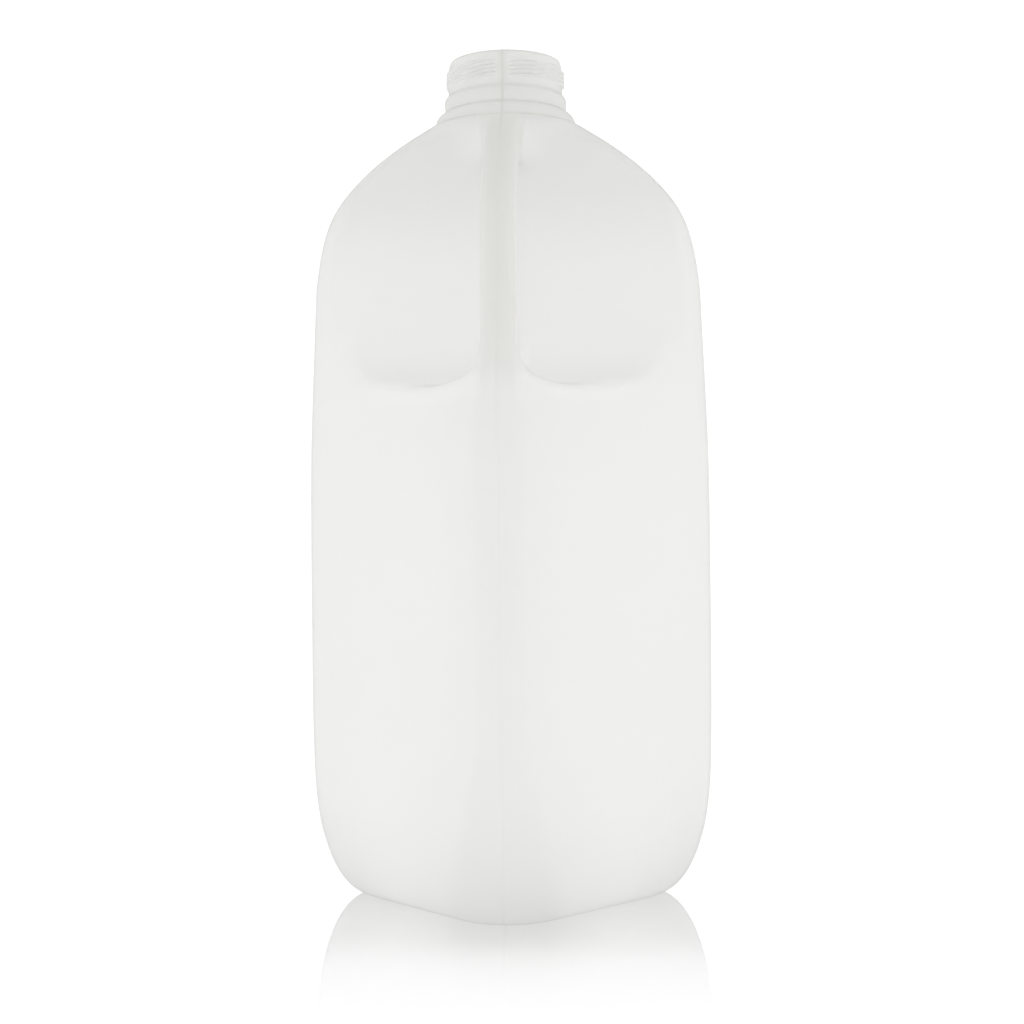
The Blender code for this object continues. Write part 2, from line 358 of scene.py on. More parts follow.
class StageLook(bpy.types.PropertyGroup):
    """Floor, light and camera."""

    floor_size: FloatProperty(
        name="Floor size",
        description="Width of the floor",
        default=6.0,
        subtype="DISTANCE",
        unit="LENGTH",
    )
    white: FloatVectorProperty(
        name="White",
        description="Colour of the floor and of the room behind",
        subtype="COLOR",
        size=3,
        min=0.0,
        max=1.0,
        default=(1.0, 1.0, 1.0),
    )
    front_light: FloatProperty(
        name="Front light",
        description="Brightness of the room behind the camera",
        default=0.78,
        min=0.0,
    )
    top_light: FloatProperty(
        name="Top light",
        description="Brightness of the room overhead, as a share of its sides",
        default=0.62,
        min=0.0,
    )
    light_below: FloatProperty(
        name="Light below",
        description="Brightness of the floor under the bottle",
        default=2.6,
        min=0.0,
    )
    floor_light: FloatProperty(
        name="Floor light",
        description="Brightness of the floor away from the bottle",
        default=1.1,
        min=0.0,
    )
    softbox_power: FloatProperty(
        name="Softbox power",
        description="Power of each softbox",
        default=0.4,
        min=0.0,
        unit="POWER",
    )
    camera_distance: FloatProperty(
        name="Camera distance",
        description="From the camera to the bottle's axis",
        default=525 * MM,
        subtype="DISTANCE",
        unit="LENGTH",
    )
    camera_height: FloatProperty(
        name="Camera height",
        description="Height of the camera over the floor",
        default=119 * MM,
        subtype="DISTANCE",
        unit="LENGTH",
    )
    camera_turn: FloatProperty(
        name="Camera turn",
        description="How far the camera stands to the right of the handle",
        default=math.radians(2.7),
        subtype="ANGLE",
        unit="ROTATION",
    )


def mean_reach(shape):
    """The mean distance of a square ring's points from the axis, in millimetres."""
    return sum(plan_point(shape, step).length for step in range(COLUMNS)) / COLUMNS


def plan_point(shape, column):
    """The body's outline from above at a column, whole or not, in millimetres."""
    radius = shape.corner_radius / MM
    offset = (shape.side / MM / 2 - radius) * math.sqrt(2)
    half = CORNER_STEPS / 2
    turns, step = divmod(column + half, QUARTER)
    facing = math.radians(-90)
    if step <= CORNER_STEPS:
        turn = facing + math.radians(90 * (step - half) / CORNER_STEPS)
        point = Vector((0, -offset, 0)) + Vector((math.cos(turn), math.sin(turn), 0)) * radius
    else:
        cosine = math.cos(math.radians(45)) * radius
        start = Vector((cosine, -offset - cosine, 0))
        end = Vector((offset + cosine, -cosine, 0))
        point = start.lerp(end, (step - CORNER_STEPS) / FLAT_STEPS)
    return Matrix.Rotation(math.radians(90) * turns, 3, "Z") @ point


def outline_reach(height):
    """The corner's distance from the axis at a height, read off the outline."""
    outline = WALL + SHOULDER + NECK_ROOT + COLLAR[:1]
    for (low, near), (high, far) in zip(outline, outline[1:]):
        if height <= high:
            return near + (far - near) * (height - low) / (high - low)
    return outline[-1][1]


def roundness(height):
    """How round the bottle is at a height, from 0 for the body to 1 for the neck."""
    share = min(max((height - SQUARE_TO) / (ROUND_FROM - SQUARE_TO), 0.0), 1.0)
    return share * share * (3 - 2 * share)


def ring_point(shape, column, height, reach):
    """A point of the ring at a height, in millimetres."""
    rounded = roundness(height)
    mean = mean_reach(shape)
    front = plan_point(shape, 0).length
    point = plan_point(shape, column)
    grown = 1 - rounded + rounded * mean / point.length
    whole = front * (1 - rounded) + rounded * mean
    return point * grown * (reach / whole) + Vector((0, 0, height))


def back_wall(across, height):
    """The Y of the scoops' back wall, at a distance from the parting plane."""
    draft = SCOOP_DRAFT * (math.hypot(across, SCOOP_CROWN) - SCOOP_CROWN)
    lean = max(height - CEILING_FROM, 0.0) / (ROUND_FROM - CEILING_FROM)
    return BACK_WALL + draft - CEILING_LEAN * lean * lean


def scoop_floor(shape, edge):
    """Points from a column's edge over the ledge and up the ellipse, as (y, z) pairs."""
    beside = (abs(edge.x) - shape.handle_width / MM / 2) / ROOT_REACH
    rise = ROOT_RISE * math.exp(-beside * beside)
    middle_y, middle_z = SCOOP_MIDDLE
    wide = back_wall(edge.x, middle_z) - middle_y
    tall = middle_z - LEDGE_HEIGHT
    level = max(middle_y - edge.y, 0.0)
    begin = math.asin(max((edge.y - middle_y) / wide, 0.0))
    curved = (math.pi / 2 - begin) * (wide + tall) / 2
    whole = level + curved
    stops = [0.0]
    stops += [LIP_ROUND + (whole - LIP_ROUND) * n / LEDGE_ROWS for n in range(LEDGE_ROWS)]
    points = []
    for along in stops:
        if along < level:
            points.append((edge.y + along, LEDGE_HEIGHT + rise))
        else:
            turn = begin + (math.pi / 2 - begin) * (along - level) / curved
            points.append((middle_y + wide * math.sin(turn), middle_z - tall * math.cos(turn)))
    return points


def ledge_column(shape, column):
    """A column's points from under the scoops' lip to the foot of their back wall."""
    near = min(column, COLUMNS - column)
    edge_column = min(max(near, 2), RIM_COLUMN - 1)
    edge = ring_point(shape, edge_column, LEDGE_HEIGHT, outline_reach(LEDGE_HEIGHT))
    floor = scoop_floor(shape, edge)
    lip = floor[0][1]
    heights = [lip - LIP_ROUND, lip - LIP_ROUND / 5] + [z for _, z in floor[1:]]
    points = []
    for number, height in enumerate(heights):
        point = ring_point(shape, column, height, outline_reach(height))
        if near < RIM_COLUMN and number == 1:
            point.y += LIP_ROUND / 6
        if near < RIM_COLUMN and number > 1:
            point.y = floor[number - 1][0]
        points.append(point)
    return points


def rim_column(shape, height, reach):
    """Where, in columns from the front, the back wall comes out of the ring at a height."""
    low, high = 0.0, float(QUARTER)
    for _ in range(30):
        middle = (low + high) / 2
        point = ring_point(shape, middle, height, reach)
        if point.y < back_wall(point.x, height):
            low = middle
        else:
            high = middle
    return (low + high) / 2


def scooped_ring(shape, height, reach):
    """A ring above the ledge: its front on the scoops' back wall, and a column along their rim."""
    rim = rim_column(shape, height, reach)
    edge = ring_point(shape, rim, height, reach)
    half = []
    for column in range(COLUMNS // 2 + 1):
        if column < RIM_COLUMN:
            across = edge.x * column / RIM_COLUMN
            half.append(Vector((across, back_wall(across, height), height)))
        else:
            share = (column - RIM_COLUMN) / (COLUMNS / 2 - RIM_COLUMN)
            half.append(ring_point(shape, rim + (COLUMNS / 2 - rim) * share, height, reach))
    return half + [Vector((-point.x, point.y, point.z)) for point in half[-2:0:-1]]


def handle_loop(shape, height):
    """Points round the handle where its front is at a height, from the front by way of +X."""
    front = Vector((0, -outline_reach(height), height))
    step = 2
    lean = outline_reach(height - step) - outline_reach(height + step)
    inward = Vector((0, 2 * step, -lean)).normalized()
    late = max(height - SHOULDER[2][0], 0.0) / (NECK_ROOT[-1][0] - SHOULDER[2][0])
    depth = HANDLE_DEPTH + (HANDLE_TOP_DEPTH - HANDLE_DEPTH) * late
    half_width = shape.handle_width / MM / 2
    half = [
        front + inward * depth * deep + Vector((half_width * wide, 0, 0))
        for wide, deep in HANDLE_SECTION
    ]
    return half + [Vector((-point.x, point.y, point.z)) for point in half[-2:0:-1]]


def selected_points():
    """The edit mesh and the indices of its selected points."""
    mesh = bmesh.from_edit_mesh(bpy.context.object.data)
    mesh.verts.ensure_lookup_table()
    return mesh, [number for number, vert in enumerate(mesh.verts) if vert.select]


def select_points(numbers):
    """Selects these points alone, with the edges and faces between them."""
    bpy.ops.mesh.select_all(action="DESELECT")
    mesh = bmesh.from_edit_mesh(bpy.context.object.data)
    mesh.verts.ensure_lookup_table()
    for number in numbers:
        mesh.verts[number].select = True
    mesh.select_flush(True)
    bmesh.update_edit_mesh(bpy.context.object.data)


def move_point(number, place):
    """Moves one point of the edit mesh to a place in millimetres."""
    select_points([number])
    mesh = bmesh.from_edit_mesh(bpy.context.object.data)
    mesh.verts.ensure_lookup_table()
    bpy.ops.transform.translate(value=place * MM - mesh.verts[number].co)


def order_round(numbers):
    """A ring's point numbers in the order of its columns."""
    mesh = bmesh.from_edit_mesh(bpy.context.object.data)
    mesh.verts.ensure_lookup_table()
    whole = 2 * math.pi
    turned = {n: math.atan2(mesh.verts[n].co.x, -mesh.verts[n].co.y) % whole for n in numbers}
    tie = math.pi / COLUMNS / 4
    return sorted(numbers, key=lambda n: turned[n] if turned[n] < whole - tie else 0.0)


def cut_blank(shape):
    """The first ring: a plane on its corner, with round corners, divided flats and no face."""
    bpy.ops.mesh.primitive_plane_add(size=shape.side, rotation=(0, 0, math.radians(45)))
    bottle = bpy.context.object
    bottle.name = bottle.data.name = "bottle_skin"
    bpy.ops.object.transform_apply(location=True, rotation=True, scale=True)
    bpy.ops.object.mode_set(mode="EDIT")
    bpy.ops.mesh.select_all(action="SELECT")
    bpy.ops.mesh.bevel(
        offset=shape.corner_radius,
        offset_type="OFFSET",
        segments=CORNER_STEPS,
        affect="VERTICES",
        profile=0.5,
    )
    bpy.ops.mesh.select_all(action="DESELECT")
    mesh = bmesh.from_edit_mesh(bottle.data)
    flat = shape.side - 2 * shape.corner_radius
    for edge in mesh.edges:
        edge.select = edge.calc_length() > flat * 0.9
    bmesh.update_edit_mesh(bottle.data)
    bpy.ops.mesh.subdivide(number_cuts=FLAT_STEPS - 1)
    bpy.ops.mesh.select_all(action="SELECT")
    bpy.ops.mesh.delete(type="ONLY_FACE")
    bpy.ops.mesh.select_all(action="SELECT")
    return bottle


def raise_ring(rings, height, reach):
    """Extrudes the top ring to a height and gives it its reach. At the neck it turns round."""
    mesh = bmesh.from_edit_mesh(bpy.context.object.data)
    mesh.verts.ensure_lookup_table()
    below = mesh.verts[rings[-1][0]].co.z / MM
    step = (0, 0, (height - below) * MM)
    bpy.ops.mesh.extrude_edges_move(TRANSFORM_OT_translate={"value": step})
    if below < ROUND_FROM <= height:
        bpy.ops.transform.tosphere(value=1.0)
    rings.append(size_ring(height, reach))


def size_ring(height, reach):
    """Scales the selected ring to its reach. Returns its points by column."""
    mesh, numbers = selected_points()
    columns = order_round(numbers)
    factor = reach * MM / math.hypot(*mesh.verts[columns[0]].co.xy)
    bpy.ops.transform.resize(value=(factor, factor, 1), center_override=(0, 0, height * MM))
    return columns


def raise_body(shape):
    """Every ring, from the foot to the mouth. Each is a list of point numbers by column."""
    first = FOOT[0]
    bpy.ops.transform.translate(value=(0, 0, first[0] * MM))
    rings = [size_ring(*first)]
    side = ledge_column(shape, COLUMNS // 2)
    stops = FOOT[1:] + HEEL + WALL + tuple((point.z, outline_reach(point.z)) for point in side)
    for stop in stops + SHOULDER + NECK_ROOT + COLLAR + BEAD + MOUTH:
        raise_ring(rings, *stop)
    return rings


def close_foot(rings):
    """Closes the middle of the base, pushed up to the dome's height, and clears loose edges."""
    select_points(rings[0])
    step = (0, 0, (DOME_HEIGHT - FOOT[0][0]) * MM)
    bpy.ops.mesh.extrude_edges_move(TRANSFORM_OT_translate={"value": step})
    bpy.ops.mesh.merge(type="CENTER")
    bpy.ops.mesh.select_all(action="SELECT")
    bpy.ops.mesh.delete_loose()
    bpy.ops.mesh.select_all(action="SELECT")
    bpy.ops.mesh.normals_make_consistent(inside=False)


def press_scoops(shape, rings, ledge, crown):
    """Moves the rings' points onto the scoops' ledge and back wall."""
    for column in range(COLUMNS):
        if min(column, COLUMNS - column) < RIM_COLUMN:
            for number, place in enumerate(ledge_column(shape, column)):
                move_point(rings[ledge + number][column], place)
    for number, stop in enumerate(SHOULDER + NECK_ROOT[:-1]):
        for column, place in enumerate(scooped_ring(shape, *stop)):
            move_point(rings[crown - len(SHOULDER) + number][column], place)


def spread_handle_ends(rings, ledge, crown):
    """Moves the points round the handle's two holes onto its spread root and top."""
    for number, (x, y, z) in enumerate(ROOT, 1):
        move_point(rings[ledge + number][1], Vector((x, y, z)))
        move_point(rings[ledge + number][-1], Vector((-x, y, z)))
    mesh = bmesh.from_edit_mesh(bpy.context.object.data)
    for column in (-1, 0, 1):
        mesh.verts.ensure_lookup_table()
        number = rings[ledge + len(ROOT) + 1][column]
        move_point(number, Vector((mesh.verts[number].co.x / MM, *ROOT_BACK)))
    for number, (x, y, z) in enumerate(CROWN, 1):
        move_point(rings[crown + number][2], Vector((x, y, z)))
        move_point(rings[crown + number][-2], Vector((-x, y, z)))
    for column in range(-2, 3):
        move_point(rings[crown][column], Vector((CROWN_HALF_WIDTH * column / 2, *CROWN_BACK)))


def hole_loop(rings, first, last, columns):
    """The point numbers round a hole, from its front middle by way of +X."""
    step = 1 if first > last else -1
    loop = [(last, column) for column in range(columns + 1)]
    loop += [(number, columns) for number in range(last + step, first + step, step)]
    loop += [(first, column) for column in range(columns - 1, -columns - 1, -1)]
    loop += [(number, -columns) for number in range(first - step, last - step, -step)]
    loop += [(last, column) for column in range(1 - columns, 0)]
    return [rings[number][column] for number, column in loop]


def open_hole(rings, rows, columns):
    """Deletes the faces between these rings and columns, and leaves their points."""
    select_points([rings[row][column] for row in rows for column in range(-columns, columns + 1)])
    bpy.ops.mesh.delete(type="ONLY_FACE")


def extrude_loop(loop):
    """Extrudes a loop of points in place. Returns the new points in the same order."""
    select_points(loop)
    bpy.ops.mesh.extrude_edges_move(TRANSFORM_OT_translate={"value": (0, 0, 0)})
    mesh, fresh = selected_points()
    place = {number: mesh.verts[number].co for number in fresh + loop}
    return [min(fresh, key=lambda n: (place[n] - place[old]).length) for old in loop]


def draw_handle(shape, rings, ledge, crown):
    """Extrudes the handle from the hole at its root to the hole at its top, and welds it there."""
    open_hole(rings, range(ledge, ledge + len(ROOT) + 2), 1)
    open_hole(rings, range(crown, crown + 3), 2)
    loop = hole_loop(rings, ledge + len(ROOT) + 1, ledge, 1)
    for height in HANDLE_HEIGHTS:
        loop = extrude_loop(loop)
        for number, place in zip(loop, handle_loop(shape, height)):
            move_point(number, place)
    top = hole_loop(rings, crown, crown + 2, 2)
    loop = extrude_loop(loop)
    for number, target in zip(loop, top):
        mesh = bmesh.from_edit_mesh(bpy.context.object.data)
        mesh.verts.ensure_lookup_table()
        move_point(number, mesh.verts[target].co / MM)
    select_points(loop + top)
    bpy.ops.mesh.remove_doubles(threshold=0.01 * MM)


def mark_group(name, numbers):
    """Puts these points of the edit mesh in a vertex group."""
    select_points(numbers)
    bpy.ops.object.vertex_group_add()
    bpy.context.object.vertex_groups.active.name = name
    bpy.ops.object.vertex_group_assign()


def apply_modifier(kind, name, **settings):
    """Adds a modifier to the active object and applies it."""
    modifier = bpy.context.object.modifiers.new(name, kind)
    for setting, value in settings.items():
        setattr(modifier, setting, value)
    bpy.ops.object.modifier_apply(modifier=name)


def give_wall(shape):
    """Rounds the skin and gives it its wall, thicker at the neck. Inner points get a group."""
    bpy.ops.object.mode_set(mode="OBJECT")
    apply_modifier("SUBSURF", "rounding", levels=shape.smoothing, render_levels=shape.smoothing)
    bpy.context.object.vertex_groups.new(name="inside")
    apply_modifier(
        "SOLIDIFY",
        "wall",
        thickness=shape.neck_wall,
        offset=-1.0,
        vertex_group="neck",
        thickness_vertex_group=shape.body_wall / shape.neck_wall,
        shell_vertex_group="inside",
    )


def outer_points(bottle):
    """The points of the outer face."""
    inside = bottle.vertex_groups["inside"].index
    return [
        point
        for point in bottle.data.vertices
        if all(group.group != inside or group.weight < 0.5 for group in point.groups)
    ]


def ease(share):
    """A smooth step from 0 to 1."""
    share = min(max(share, 0.0), 1.0)
    return share * share * (3 - 2 * share)


def thread_weight(place):
    """How much of the thread stands at a point of the neck's face, from 0 to 1."""
    low, high = THREAD_BAND
    height = place.z / MM
    turn = math.degrees(math.atan2(place.y, place.x))
    phase = (height - THREAD_LEAD * turn / 360) / THREAD_PITCH % 1.0
    ridge = ease((0.5 - abs(phase - 0.5) / RIDGE_SHARE) / FLANK_SHARE)
    ends = ease((height - low) / THREAD_RUN_OUT) * ease((high - height) / THREAD_RUN_OUT)
    parting = abs((turn % 180) - 90)
    return ridge * ends * ease((parting - THREAD_GAP) / THREAD_TAPER)


def raise_threads(bottle, shape):
    """Divides the neck's face finely and raises the threads on it."""
    low, high = (height * MM for height in THREAD_BAND)
    outer = {v.index for v in outer_points(bottle)}
    bpy.ops.object.mode_set(mode="EDIT")
    bpy.ops.mesh.select_all(action="DESELECT")
    mesh = bmesh.from_edit_mesh(bottle.data)
    heights = []
    for edge in mesh.edges:
        one, other = edge.verts
        middle = (one.co.z + other.co.z) / 2
        upright = abs(one.co.z - other.co.z) > (one.co.xy - other.co.xy).length
        edge.select = low < middle < high and upright and {one.index, other.index} <= outer
        if edge.select:
            heights.append(edge.calc_length())
    bmesh.update_edit_mesh(bottle.data)
    rows = round((high - low) / (sum(heights) / len(heights)))
    bpy.ops.mesh.subdivide(number_cuts=round(THREAD_ROWS / rows) - 1, smoothness=0)
    bpy.ops.object.mode_set(mode="OBJECT")
    group = bottle.vertex_groups.new(name="threads")
    for point in outer_points(bottle):
        weight = thread_weight(point.co) if low < point.co.z < high else 0.0
        if weight > 0:
            group.add([point.index], weight, "REPLACE")
    apply_modifier(
        "DISPLACE",
        "threads",
        strength=shape.thread_height,
        mid_level=0.0,
        vertex_group="threads",
    )


def raise_seam(bottle, shape):
    """Cuts the skin beside the parting plane and raises the line between the cuts."""
    bpy.ops.object.mode_set(mode="EDIT")
    for side in (-1, 1):
        bpy.ops.mesh.select_all(action="SELECT")
        bpy.ops.mesh.bisect(plane_co=(side * SEAM_HALF_WIDTH * MM, 0, 0), plane_no=(1, 0, 0))
    bpy.ops.object.mode_set(mode="OBJECT")
    group = bottle.vertex_groups.new(name="seam")
    middle = [v.index for v in outer_points(bottle) if abs(v.co.x) < 0.01 * MM]
    group.add(middle, 1.0, "REPLACE")
    apply_modifier(
        "DISPLACE", "seam", strength=shape.seam_height, mid_level=0.0, vertex_group="seam"
    )


class Nodes:
    """Short ways to add and join nodes in one tree."""

    def __init__(self, tree):
        self.tree = tree
        tree.nodes.clear()

    def add(self, kind, **values):
        """A node of a kind, with these settings and input values."""
        node = self.tree.nodes.new(kind)
        for name, value in values.items():
            if hasattr(node, name):
                setattr(node, name, value)
            else:
                node.inputs[name.replace("_", " ")].default_value = value
        return node

    def join(self, source, target):
        """Links an output socket to an input socket."""
        self.tree.links.new(source, target)

    def split(self, place):
        """A place's X, Y and Z, as sockets."""
        axes = self.add("ShaderNodeSeparateXYZ")
        self.join(place, axes.inputs["Vector"])
        return [axes.outputs[axis] for axis in "XYZ"]

    def calc(self, operation, *values):
        """A Math node on sockets or numbers. Returns its result's socket."""
        node = self.add("ShaderNodeMath", operation=operation)
        for target, value in zip(node.inputs, values):
            if isinstance(value, float):
                target.default_value = value
            else:
                self.join(value, target)
        return node.outputs["Value"]

    def ramp(self, value, start, end, first, last):
        """A smooth step of a socket, from first at start to last at end. Returns its socket."""
        node = self.add("ShaderNodeMapRange", interpolation_type="SMOOTHSTEP")
        ends = {"From Min": start, "From Max": end, "To Min": first, "To Max": last}
        for name, number in ends.items():
            node.inputs[name].default_value = number
        self.join(value, node.inputs["Value"])
        return node.outputs["Result"]

    def fade(self, value, stretch, first=0.0, last=1.0):
        """A ramp over a stretch that is given in millimetres. Returns its socket."""
        start, end = stretch
        return self.ramp(value, start * MM, end * MM, first, last)

    def times(self, first, *others):
        """The product of sockets or numbers. Returns its socket."""
        for other in others:
            first = self.calc("MULTIPLY", first, other)
        return first


def thread_valley_shade(nodes, place):
    """How dark the painted shade in the valleys between the threads is, from 0 to 1: a socket."""
    x, y, height = nodes.split(place)
    across = nodes.calc("ABSOLUTE", x)
    turn = nodes.calc("ARCTAN2", y, x)
    risen = nodes.times(turn, THREAD_LEAD * MM / (2 * math.pi))
    phase = nodes.calc("DIVIDE", nodes.calc("SUBTRACT", height, risen), THREAD_PITCH * MM)
    beside = nodes.calc("PINGPONG", phase, 0.5)
    low, high = THREAD_BAND
    return nodes.times(
        nodes.ramp(beside, 0.0, VALLEY_HALF_WIDTH, 1.0, 0.0),
        nodes.fade(height, (low, low + VALLEY_RUN_OUT)),
        nodes.fade(height, (high - VALLEY_RUN_OUT, high), 1.0, 0.0),
        nodes.fade(across, VALLEY_GAP),
        nodes.fade(across, VALLEY_FADE, 1.0, VALLEY_SIDE_DARK),
    )


def neck_shade_lines(nodes, place):
    """Painted shade lines, from 0 to 1: the threads' valleys, the neck's creases, the parting
    line.
    """
    x, _, height = nodes.split(place)
    across = nodes.calc("ABSOLUTE", x)
    dark = thread_valley_shade(nodes, place)
    # Painted shade in the neck's creases and at its rim.
    for crease, half_width, strength in NECK_CREASE_SHADE:
        away = nodes.calc("ABSOLUTE", nodes.calc("SUBTRACT", height, crease * MM))
        dark = nodes.calc("MAXIMUM", dark, nodes.fade(away, (0.0, half_width), strength, 0.0))
    # Painted shade along the parting line, strongest on the neck, and beside it at the neck's top.
    seam = nodes.times(
        nodes.fade(across, SEAM_EDGE, 1.0, 0.0),
        nodes.fade(height, SEAM_RISE, *SEAM_DARK),
    )
    beside = nodes.times(
        nodes.fade(across, SEAM_SIDE_EDGE, SEAM_SIDE_DARK, 0.0),
        nodes.fade(height, SEAM_SIDE_RISE),
    )
    return nodes.calc("MAXIMUM", dark, nodes.calc("MAXIMUM", seam, beside))


def thickness(nodes, place):
    """How much the plastic is darkened, from 0 on the walls to 1: a socket.

    The neck for its thicker plastic and partly as painted shade; painted shade at the foot, up the
    corners, on the handle, on the scoops' ledge and on the shoulders; two ovals of painted
    highlight.
    """
    x, y, height = nodes.split(place)
    across = nodes.calc("ABSOLUTE", x)
    # The neck: darker for its thicker plastic, and partly painted shade.
    neck = nodes.fade(height, NECK_RISE, 0.0, NECK_THICK_AND_SHADE)
    # Painted shade: a fan at the foot that narrows to a band up the front and back corners.
    half_width = nodes.fade(height, FAN_RISE, *(width * MM for width in FAN_HALF_WIDTH))
    softness = nodes.fade(height, FAN_RISE, *(width * MM for width in FAN_SOFTNESS))
    inside = nodes.calc("DIVIDE", nodes.calc("SUBTRACT", half_width, across), softness)
    fan = nodes.times(
        nodes.ramp(inside, -0.5, 0.5, 0.0, 1.0),
        nodes.fade(height, FAN_RISE, *FAN_SHADE),
    )
    # Painted shade on the handle, spreading wider at its top under the neck.
    spread = nodes.fade(height, SPREAD_RISE, *(width * MM for width in SPREAD_HALF_WIDTH))
    handle = nodes.times(
        nodes.fade(y, HANDLE_FRONT, 1.0, 0.0),
        nodes.fade(height, HANDLE_RISE),
        nodes.fade(nodes.calc("SUBTRACT", spread, across), SPREAD_EDGE),
    )
    # Painted shade on the scoops' ledge, where their floor curves up from the lip.
    ledge = nodes.times(
        nodes.fade(height, LEDGE_RISE, 0.0, LEDGE_SHADE),
        nodes.fade(y, LEDGE_FRONT, 1.0, 0.0),
        nodes.fade(height, LEDGE_FALL, 1.0, 0.0),
    )
    # Painted highlights: two ovals beside the handle's top, kept out of the shoulders' shade.
    oval = nodes.times(
        nodes.fade(height, OVAL_RISE),
        nodes.fade(across, OVAL_ACROSS, 1.0, 0.0),
    )
    # Painted shade on the shoulders.
    shoulder = nodes.times(
        nodes.fade(height, SHOULDER_RISE, 0.0, SHOULDER_SHADE),
        nodes.fade(across, SHOULDER_ACROSS, 1.0, 0.0),
        nodes.calc("SUBTRACT", 1.0, oval),
    )
    thick_and_shaded = neck
    for region in (fan, handle, ledge, shoulder):
        thick_and_shaded = nodes.calc("MAXIMUM", thick_and_shaded, region)
    return thick_and_shaded


def polish(nodes, place):
    """How bright the gloss is: dull on the walls, bright on the handle and on the ledge."""
    x, y, height = nodes.split(place)
    handle = nodes.times(
        nodes.fade(nodes.calc("ABSOLUTE", x), HANDLE_GLOSS_ACROSS, 1.0, 0.0),
        nodes.fade(y, HANDLE_GLOSS_FRONT, 1.0, 0.0),
    )
    ledge = nodes.times(
        nodes.fade(height, LEDGE_GLOSS_FALL, LEDGE_GLOSS, 0.0),
        nodes.fade(y, LEDGE_FRONT, 1.0, 0.0),
    )
    bright = nodes.times(nodes.calc("MAXIMUM", handle, ledge), nodes.fade(height, GLOSS_RISE))
    return nodes.ramp(bright, 0.0, 1.0, WALL_GLOSS, 1.0)


def polythene(finish):
    """Thin natural polythene: milky, lets most of the light through, soft gloss, a little wavy.

    Its colour carries painted shade and painted highlights.
    """
    material = bpy.data.materials.new("natural_polythene")
    material.use_nodes = True
    nodes = Nodes(material.node_tree)
    place = nodes.add("ShaderNodeTexCoord").outputs["Object"]
    drift = nodes.add("ShaderNodeTexNoise", Scale=TONE_SCALE, Detail=1.0)
    wave = nodes.add("ShaderNodeTexNoise", Scale=WAVE_SCALE, Detail=2.0)
    grain = nodes.add("ShaderNodeTexNoise", Scale=GRAIN_SCALE, Detail=2.0)
    for noise in (drift, wave, grain):
        nodes.join(place, noise.inputs["Vector"])
    # The plastic's colour, darkened by the neck's thicker plastic and by painted shade.
    wall = nodes.add("ShaderNodeMix", data_type="RGBA")
    wall.inputs["A"].default_value = (*finish.plastic, 1.0)
    wall.inputs["B"].default_value = (*finish.thick_and_shaded_plastic, 1.0)
    nodes.join(thickness(nodes, place), wall.inputs["Factor"])
    # Painted shade lines in the threads' valleys, the neck's creases and along the parting line.
    shade_lined = nodes.add("ShaderNodeMix", data_type="RGBA", blend_type="MULTIPLY")
    shade_lined.inputs["B"].default_value = SHADE_LINE_TINT
    nodes.join(neck_shade_lines(nodes, place), shade_lined.inputs["Factor"])
    nodes.join(wall.outputs["Result"], shade_lined.inputs["A"])
    tone = nodes.add("ShaderNodeMix", data_type="RGBA", blend_type="MULTIPLY")
    tone.inputs["B"].default_value = TONE_TINT
    nodes.join(drift.outputs["Fac"], tone.inputs["Factor"])
    nodes.join(shade_lined.outputs["Result"], tone.inputs["A"])
    roughest = finish.roughness + WAVE_ROUGHNESS
    rough = nodes.ramp(wave.outputs["Fac"], 0.0, 1.0, finish.roughness, roughest)
    waves = nodes.add("ShaderNodeBump", Strength=WAVE_STRENGTH, Distance=WAVE_DEPTH * MM)
    nodes.join(wave.outputs["Fac"], waves.inputs["Height"])
    grains = nodes.add("ShaderNodeBump", Strength=GRAIN_STRENGTH, Distance=GRAIN_DEPTH * MM)
    nodes.join(grain.outputs["Fac"], grains.inputs["Height"])
    nodes.join(waves.outputs["Normal"], grains.inputs["Normal"])
    back = nodes.add("ShaderNodeBsdfDiffuse")
    through = nodes.add("ShaderNodeBsdfTranslucent")
    gloss = nodes.add("ShaderNodeBsdfGlossy")
    nodes.join(polish(nodes, place), gloss.inputs["Color"])
    facing = nodes.add("ShaderNodeLayerWeight", Blend=0.5)
    for node in (back, through, gloss, facing):
        nodes.join(grains.outputs["Normal"], node.inputs["Normal"])
    for shader in (back, through):
        nodes.join(tone.outputs["Result"], shader.inputs["Color"])
    nodes.join(rough, gloss.inputs["Roughness"])
    milk = nodes.add("ShaderNodeMixShader")
    milk.inputs["Fac"].default_value = finish.clearness
    nodes.join(back.outputs["BSDF"], milk.inputs[1])
    nodes.join(through.outputs["BSDF"], milk.inputs[2])
    steep = nodes.calc("POWER", facing.outputs["Facing"], GLOSS_STEEPNESS)
    mixed = nodes.add("ShaderNodeMixShader")
    nodes.join(nodes.ramp(steep, 0.0, 1.0, *GLOSS_SHARE), mixed.inputs["Fac"])
    nodes.join(milk.outputs["Shader"], mixed.inputs[1])
    nodes.join(gloss.outputs["BSDF"], mixed.inputs[2])
    output = nodes.add("ShaderNodeOutputMaterial")
    nodes.join(mixed.outputs["Shader"], output.inputs["Surface"])
    return material


